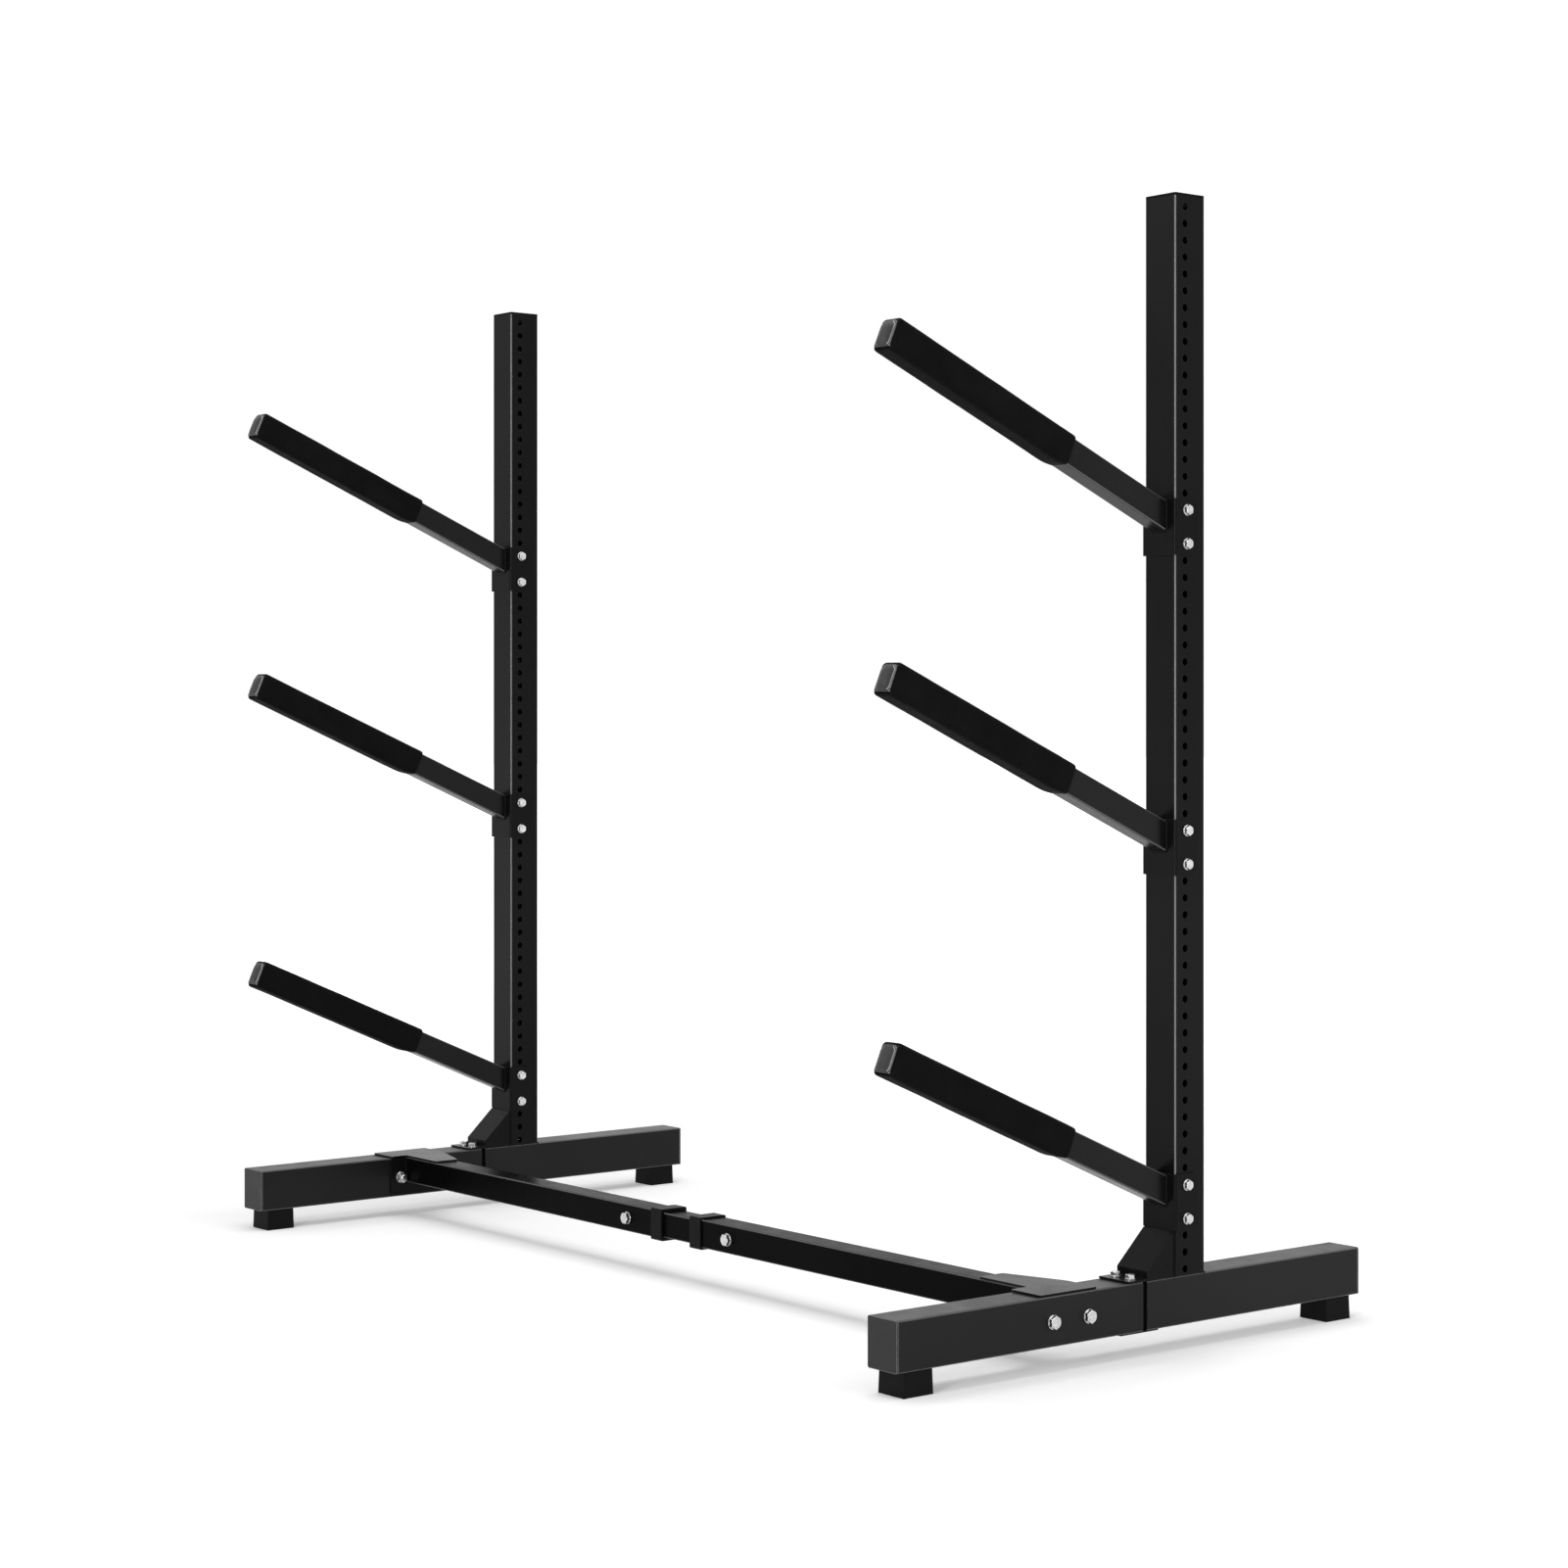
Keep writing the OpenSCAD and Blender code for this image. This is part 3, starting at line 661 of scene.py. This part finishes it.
for side in SIDES:
    frame_body = f"{side}_frame"
    for bolts in ("bracket_bolts", "gusset_bolts", "crossbar_bolt"):
        coat(f"{side}_{bolts}", zinc)
    low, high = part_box(f"{side}_bracket_bolts")
    inner = high.x if side == "left" else low.x
    back = Vector((-1 if side == "left" else 1, 0, 0))
    rows_y = (low.y + M10_WASHER_RADIUS, high.y - M10_WASHER_RADIUS)
    ends = [Vector((inner, y, (low.z + high.z) / 2)) for y in rows_y]
    add_threads(f"{side}_bracket_bolts", frame_body, ends, back, THREAD_LENGTH["bracket_bolts"], M10_THREAD)
    low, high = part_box(f"{side}_crossbar_bolt")
    ends = [Vector(((low.x + high.x) / 2, high.y, (low.z + high.z) / 2))]
    back = Vector((0, -1, 0))
    add_threads(f"{side}_crossbar_bolt", frame_body, ends, back, THREAD_LENGTH["crossbar_bolt"], M10_THREAD)
    for tier in TIERS:
        node = f"{side}_{tier}_arm_bolts"
        coat(node, zinc)
        low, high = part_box(node)
        rows_z = (low.z + M8_WASHER_RADIUS, high.z - M8_WASHER_RADIUS)
        ends = [Vector((low.x, (low.y + high.y) / 2, z)) for z in rows_z]
        back = Vector((1, 0, 0))
        add_threads(node, f"{side}_{tier}_arm", ends, back, THREAD_LENGTH["arm_bolts"], M8_THREAD)


# ---------------------------------------------------------------------------------------------
# Crossbar. Two outer tubes welded to end brackets of bent plate, an inner tube that slides in both,
# and a plastic collar on each outer tube's end. Each bracket lies over its foot and down the foot's
# inner side, and its tongue runs out along the bar with a straight front edge and a tapered rear one.

BRACKET_PLATE = 0.003
BRACKET_TUCK = 0.001
TOP_CORNER = 0.004
SIDE_CORNER = 0.008
CORNER_STEPS = 5
TONGUE_WELD_INSET = 0.004

# Painted shade: the crossbar's coat is darker and less glossy than the other tubes', standing in for shade
# that falls on the bar.
bar_shade_coat = make_powder_coat(
    "crossbar powder coat", dark=(0.0018, 0.0018, 0.0019), light=(0.0030, 0.0030, 0.0032),
    roughness=0.27, seed=61.0, specular=0.02, tube_tilt=0.0, holes_along_x=0.0
)
collar_plastic = make_moulded(
    "collar plastic", dark=(0.0026, 0.0026, 0.0027), light=(0.0040, 0.0040, 0.0042),
    edge_tone=(0.016, 0.016, 0.0165), roughness=0.4, grain_size=0.0007, edge_round=0.0012, seed=9.9,
    specular=0.06
)


def round_corners(points, radius):
    """Outline of a cut plate with each of its corners rounded; points are (first, second) pairs."""
    outline = []
    for i, point in enumerate(points):
        corner = Vector(point)
        before = Vector(points[i - 1]) - corner
        after = Vector(points[(i + 1) % len(points)]) - corner
        start = corner + radius * before.normalized()
        stop = corner + radius * after.normalized()
        for k in range(CORNER_STEPS + 1):
            t = k / CORNER_STEPS
            outline.append((1 - t) ** 2 * start + 2 * t * (1 - t) * corner + t * t * stop)
    return outline


def cut_plate(shape, near, far):
    """Flat plate between two outlines of the same points."""
    first = [shape.verts.new(place) for place in near]
    second = [shape.verts.new(place) for place in far]
    count = len(first)
    for k in range(count):
        shape.faces.new((first[k], first[(k + 1) % count], second[(k + 1) % count], second[k]))
    shape.faces.new(list(reversed(first)))
    shape.faces.new(second)


coat("crossbar_inner_tube", bar_shade_coat)
for side in SIDES:
    coat(f"{side}_crossbar_tube", bar_shade_coat)
    coat(f"{side}_crossbar_collar", collar_plastic)
    bar_low, bar_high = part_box(f"{side}_crossbar_tube")
    low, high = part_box(f"{side}_crossbar_bracket")
    if side == "left":
        inward, foot_x, plate_x, tongue_x = 1, low.x, bar_low.x, high.x
    else:
        inward, foot_x, plate_x, tongue_x = -1, high.x, bar_high.x, low.x
    top = round_corners(
        [
            (foot_x, low.y), (plate_x, low.y), (plate_x, bar_low.y), (tongue_x, bar_low.y),
            (tongue_x, bar_high.y), (plate_x, high.y), (foot_x, high.y),
        ],
        TOP_CORNER,
    )
    plate_top = high.z - BRACKET_TUCK
    upright = round_corners(
        [(low.y, low.z), (high.y, low.z), (high.y, plate_top), (low.y, plate_top)], SIDE_CORNER
    )
    shape = bmesh.new()
    cut_plate(
        shape,
        [Vector((x, y, high.z - BRACKET_PLATE)) for x, y in top],
        [Vector((x, y, high.z)) for x, y in top],
    )
    cut_plate(
        shape,
        [Vector((plate_x, y, z)) for y, z in upright],
        [Vector((plate_x - inward * BRACKET_PLATE, y, z)) for y, z in upright],
    )
    bracket = finish_piece(f"{side}_bent_bracket", shape, plate_coat, f"{side}_frame", smooth=False)
    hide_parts(f"{side}_crossbar_bracket")
    shape = bmesh.new()
    lay_bead(shape, [
        Vector((plate_x, bar_low.y, bar_high.z)), Vector((plate_x, bar_low.y, bar_low.z)),
        Vector((plate_x, bar_high.y, bar_low.z)), Vector((plate_x, bar_high.y, bar_high.z)),
    ])
    lay_bead(shape, [
        Vector((tongue_x, bar_low.y + TONGUE_WELD_INSET, bar_high.z)),
        Vector((tongue_x, bar_high.y - TONGUE_WELD_INSET, bar_high.z)),
    ])
    bar_weld = finish_piece(f"{side}_crossbar_weld", shape, weld_coat, f"{side}_frame")


# ---------------------------------------------------------------------------------------------
# Arms. Rectangular tube with a mitred root, welded to a channel bracket that wraps the post's
# front. A moulded plug closes the tip: a thin rim on the tube's end, and a raised, domed pad whose
# upper corners are cut off.

ARM_TILT = math.radians(23.5)
ARM_WIDTH = 0.032
ARM_HEIGHT = 0.040
ARM_CORNER = 0.003
ARM_ROOT_UP = 0.01619
TUBE_END = 0.5557
PLUG_STEPS = (
    # inset from the tube's outside, distance past the tube's end
    (0.0029, -0.0150), (0.0023, -0.0143), (0.0023, 0.0000), (0.0002, 0.0000), (0.0000, 0.0002),
    (0.0000, 0.0010), (0.0003, 0.0014), (0.0009, 0.0016), (0.0016, 0.0016), (0.0018, 0.0018),
    (0.0020, 0.0024),
)
PAD_START = 8
PAD_SHARES = (0.96, 0.9, 0.8, 0.66, 0.5, 0.3)
PAD_TOP = 0.0060
PAD_CORNER = 0.0065
DOME_POWER = 2.6
TIP_CUT = 0.006
TIP_CORNER = 0.003
TIP_SHARP_EDGE = math.radians(50)
TIP_SMUDGE_DULL = 0.08
EDGE_HIGHLIGHT_RANGE = (0.75, 1.0)

arm_coat = make_powder_coat(
    "arm powder coat", dark=(0.0044, 0.0044, 0.0046), light=(0.0068, 0.0068, 0.0070),
    roughness=0.24, seed=71.0, specular=0.12, tube_tilt=ARM_TILT
)


def make_tip_plastic(name, dark, light, pale, roughness, seed):
    """Satin moulded plastic: an even grey face, with its side edges painted pale as a highlight."""
    made, tree, surface = start_material(name, specular=0.22)
    skin = place_group(tree, skin_group, Grain_Size=0.0006, Blotch_Size=0.02, Seed=seed)
    edge = place_group(tree, edge_group, Round=0.0005, Seed=seed)
    corner = place_group(tree, corner_group, Tilt=ARM_TILT, Holes_Along_X=1.0)
    tone = blend_colours(tree, skin.outputs["Blotch"], dark, light)
    # Painted highlight: the plug's rounded side edges are coloured pale, standing in for the bright ridge
    # that light draws there.
    highlight_mask = add_range(tree, corner.outputs["Corner"], *EDGE_HIGHLIGHT_RANGE, 0, 1)
    mixed = blend_colours(tree, highlight_mask, tone, pale)
    tree.links.new(mixed, surface.inputs["Base Color"])
    rough = add_range(tree, skin.outputs["Smudge"], 0, 1, roughness, roughness + TIP_SMUDGE_DULL)
    tree.links.new(rough, surface.inputs["Roughness"])
    bump_surface(
        tree, surface, skin.outputs["Grain"], strength=0.3, distance=0.0001, normal=edge.outputs["Normal"]
    )
    return made


tip_plastic = make_tip_plastic(
    "tip plug plastic", dark=(0.024, 0.024, 0.025), light=(0.033, 0.033, 0.034), pale=(0.34, 0.34, 0.345),
    roughness=0.34, seed=13.3
)


def rounded_outline(half_width, half_height, radius, corner_steps, side_steps):
    """Rectangle with rounded corners, as (across, up) points in order round it."""
    ways = ((1, 1), (-1, 1), (-1, -1), (1, -1))
    corners = [Vector((x * (half_width - radius), y * (half_height - radius))) for x, y in ways]
    outline = []
    for quarter, corner in enumerate(corners):
        for i in range(corner_steps + 1):
            angle = math.pi / 2 * (quarter + i / corner_steps)
            out = radius * Vector((math.cos(angle), math.sin(angle)))
            outline.append(corner + out)
        start, stop = outline[-1], corners[(quarter + 1) % 4] + out
        outline += [start.lerp(stop, i / side_steps) for i in range(1, side_steps)]
    return outline


def find_arm_root(arm):
    """Where the arm's middle line meets the front of its bracket."""
    low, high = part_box(f"{arm}_arm_bracket")
    return Vector(((low.x + high.x) / 2, low.y, (low.z + high.z) / 2 + ARM_ROOT_UP))


def place_on_arm(root, reach, across, height):
    """Point at a distance along the arm, and beside and above its middle line."""
    forward = height * math.sin(ARM_TILT) - reach * math.cos(ARM_TILT)
    rise = height * math.cos(ARM_TILT) + reach * math.sin(ARM_TILT)
    return root + Vector((across, forward, rise))


def join_rings(shape, rings):
    """Skin over a row of rings with the same number of points."""
    for before, after in zip(rings, rings[1:]):
        count = len(before)
        for k in range(count):
            shape.faces.new((before[k], before[(k + 1) % count], after[(k + 1) % count], after[k]))


def trim_top(outline, half_width, half_height):
    """Outline with its two upper corners cut off on a slant."""
    limit = half_width + half_height - TIP_CUT
    trimmed = []
    for across, height in outline:
        over = max(0.0, abs(across) + height - limit) / 2
        trimmed.append((across - math.copysign(over, across), height - over))
    return trimmed


def build_tip_plug(root):
    """Plug in the arm's end: its body in the tube, a thin rounded rim and a raised, domed pad on it."""
    shape = bmesh.new()
    rings = []
    for i, (inset, past) in enumerate(PLUG_STEPS):
        half_width, half_height = ARM_WIDTH / 2 - inset, ARM_HEIGHT / 2 - inset
        corner = PAD_CORNER if i >= PAD_START else TIP_CORNER
        whole = rounded_outline(half_width, half_height, corner, corner_steps=4, side_steps=5)
        outline = trim_top(whole, half_width, half_height)
        rings.append([shape.verts.new(place_on_arm(root, TUBE_END + past, x, y)) for x, y in outline])
    edge, start = outline, PLUG_STEPS[-1][1]
    for share in PAD_SHARES:
        past = start + (PAD_TOP - start) * (1 - share ** DOME_POWER)
        rings.append([
            shape.verts.new(place_on_arm(root, TUBE_END + past, share * x, share * y)) for x, y in edge
        ])
    join_rings(shape, rings)
    shape.faces.new(list(reversed(rings[0])))
    shape.faces.new(rings[-1])
    return shape


for side in SIDES:
    for tier in TIERS:
        arm = f"{side}_{tier}"
        coat(f"{arm}_arm_bracket", plate_coat)
        coat(f"{arm}_arm_tube", arm_coat)
        root = find_arm_root(arm)
        tip_plug = finish_piece(f"{arm}_tip_plug", build_tip_plug(root), tip_plastic, f"{arm}_arm")
        tip_plug.data.set_sharp_from_angle(angle=TIP_SHARP_EDGE)
        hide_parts(f"{arm}_end_cap")
        joint = rounded_outline(
            ARM_WIDTH / 2, ARM_HEIGHT / 2, ARM_CORNER, corner_steps=3, side_steps=4
        )
        shape = bmesh.new()
        path = [root + Vector((across, 0, up / math.cos(ARM_TILT))) for across, up in joint]
        lay_bead(shape, path, closed=True)
        arm_weld = finish_piece(f"{arm}_arm_weld", shape, weld_coat, f"{arm}_arm")


# ---------------------------------------------------------------------------------------------
# Foam sleeves. Square-edged tube of soft closed-cell foam, cut to length and pushed over the arm up
# to its tip plug. It grips the tube, its cut ends roll in a little and its sides are never quite flat.

FOAM_THICKNESS = 0.004
FOAM_CORNER = 0.0075
FOAM_START = 0.2047
FOAM_END = 0.5547
FOAM_STEP = 0.011
LIP_PROFILE = (
    # distance from the cut end, share of the foam's thickness
    (0.0, 0.25), (0.0002, 0.55), (0.0009, 0.8), (0.0021, 0.94), (0.0042, 1.0),
)
# share of the full effect at an end, and the distance in which it dies away
ROOT_SWELL = (0.3, 0.012)
TIP_SWELL = (0.45, 0.016)
CURL = (0.85, 0.011)
# how far the foam's sides go out or in, and how close together its waves and ripples are
SWELL = 0.0006
SQUEEZE = 0.0001
WAVE = 0.00042
WAVES_ACROSS = 26
WAVES_ALONG = 17
WAVE_SHIFT = 7.3
RIPPLE = 0.00012
RIPPLES_ACROSS = 90
RIPPLES_ALONG = 60
RIPPLE_SHIFT = 3.1
PORES_PER_METRE = 720.0
PORE_REACH = 0.35
FOAM_DARK = (0.0026, 0.0026, 0.0027)
FOAM_LIGHT = (0.0042, 0.0042, 0.0043)
# Painted shade: the pores are coloured darker, as shade in the pits.
FOAM_PIT_SHADE = (0.0020, 0.0020, 0.0021)
FOAM_ROUGHNESS = (0.78, 0.62)


def make_foam(name, seed):
    """Matte black foam skin: fine closed pores with painted shade in them, soft creases and slow patches of
    wear.
    """
    made, tree, surface = start_material(name, specular=0.05)
    skin = place_group(tree, skin_group, Grain_Size=0.0011, Blotch_Size=0.045, Seed=seed)
    pores = tree.nodes.new("ShaderNodeTexVoronoi")
    pores.inputs["Scale"].default_value = PORES_PER_METRE
    tree.links.new(place_on_piece(tree), pores.inputs["Vector"])
    tone = blend_colours(tree, skin.outputs["Blotch"], FOAM_DARK, FOAM_LIGHT)
    pit = add_range(tree, pores.outputs["Distance"], 0.0, PORE_REACH, 1, 0)
    mixed = blend_colours(tree, pit, tone, FOAM_PIT_SHADE)
    tree.links.new(mixed, surface.inputs["Base Color"])
    rough = add_range(tree, skin.outputs["Smudge"], 0, 1, *FOAM_ROUGHNESS)
    tree.links.new(rough, surface.inputs["Roughness"])
    height = add_math(tree, "SUBTRACT", skin.outputs["Grain"], pit)
    bump_surface(tree, surface, height, strength=0.45, distance=0.00018)
    return made


foam_skin = make_foam("foam skin", 81.0)


def build_sleeve(root, seed):
    """Foam tube round the arm's line: its outside, both rolled ends and its bore in one closed form."""
    length = FOAM_END - FOAM_START
    middle_steps = round(length / FOAM_STEP)
    first, last = LIP_PROFILE[-1][0], length - LIP_PROFILE[-1][0]
    stations = [(0.0, 0.0)] + list(LIP_PROFILE)
    stations += [(first + (last - first) * i / middle_steps, 1.0) for i in range(1, middle_steps)]
    stations += [(length - reach, share) for reach, share in reversed(LIP_PROFILE)] + [(length, 0.0)]
    shape = bmesh.new()
    rings = []
    for reach, share in stations:
        outset = FOAM_THICKNESS * share
        radius = ARM_CORNER + (FOAM_CORNER - ARM_CORNER) * share
        at_root = ROOT_SWELL[0] * math.exp(-reach / ROOT_SWELL[1])
        at_tip = TIP_SWELL[0] * math.exp(-(length - reach) / TIP_SWELL[1])
        swell = at_root + at_tip
        curl = CURL[0] * math.exp(-((reach / CURL[1]) ** 2))
        outline = rounded_outline(
            ARM_WIDTH / 2 + outset, ARM_HEIGHT / 2 + outset, radius, corner_steps=5, side_steps=7
        )
        ring = []
        for across, height in outline:
            out = Vector((across, height)).normalized()
            wave = noise.noise(Vector((
                across * WAVES_ACROSS, height * WAVES_ACROSS + seed * WAVE_SHIFT, reach * WAVES_ALONG
            )))
            ripple = noise.noise(Vector((
                across * RIPPLES_ACROSS + seed * RIPPLE_SHIFT, height * RIPPLES_ACROSS,
                reach * RIPPLES_ALONG
            )))
            give = share * (WAVE * wave + RIPPLE * ripple + SWELL * swell - SQUEEZE)
            low = max(0.0, -height / (ARM_HEIGHT / 2 + outset)) ** 2
            rise = height + curl * low * outset
            here = place_on_arm(root, FOAM_START + reach, across + give * out.x, rise + give * out.y)
            ring.append(shape.verts.new(here))
        rings.append(ring)
    join_rings(shape, rings + rings[:1])
    return shape


for i, side in enumerate(SIDES):
    for j, tier in enumerate(TIERS):
        arm = f"{side}_{tier}"
        shape = build_sleeve(find_arm_root(arm), len(TIERS) * i + j + 1)
        sleeve = finish_piece(f"{arm}_sleeve", shape, foam_skin, f"{arm}_arm")
        smoothing = sleeve.modifiers.new("soft faces", "SUBSURF")
        smoothing.levels = 1
        smoothing.render_levels = 1
        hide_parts(f"{arm}_foam_sleeve")
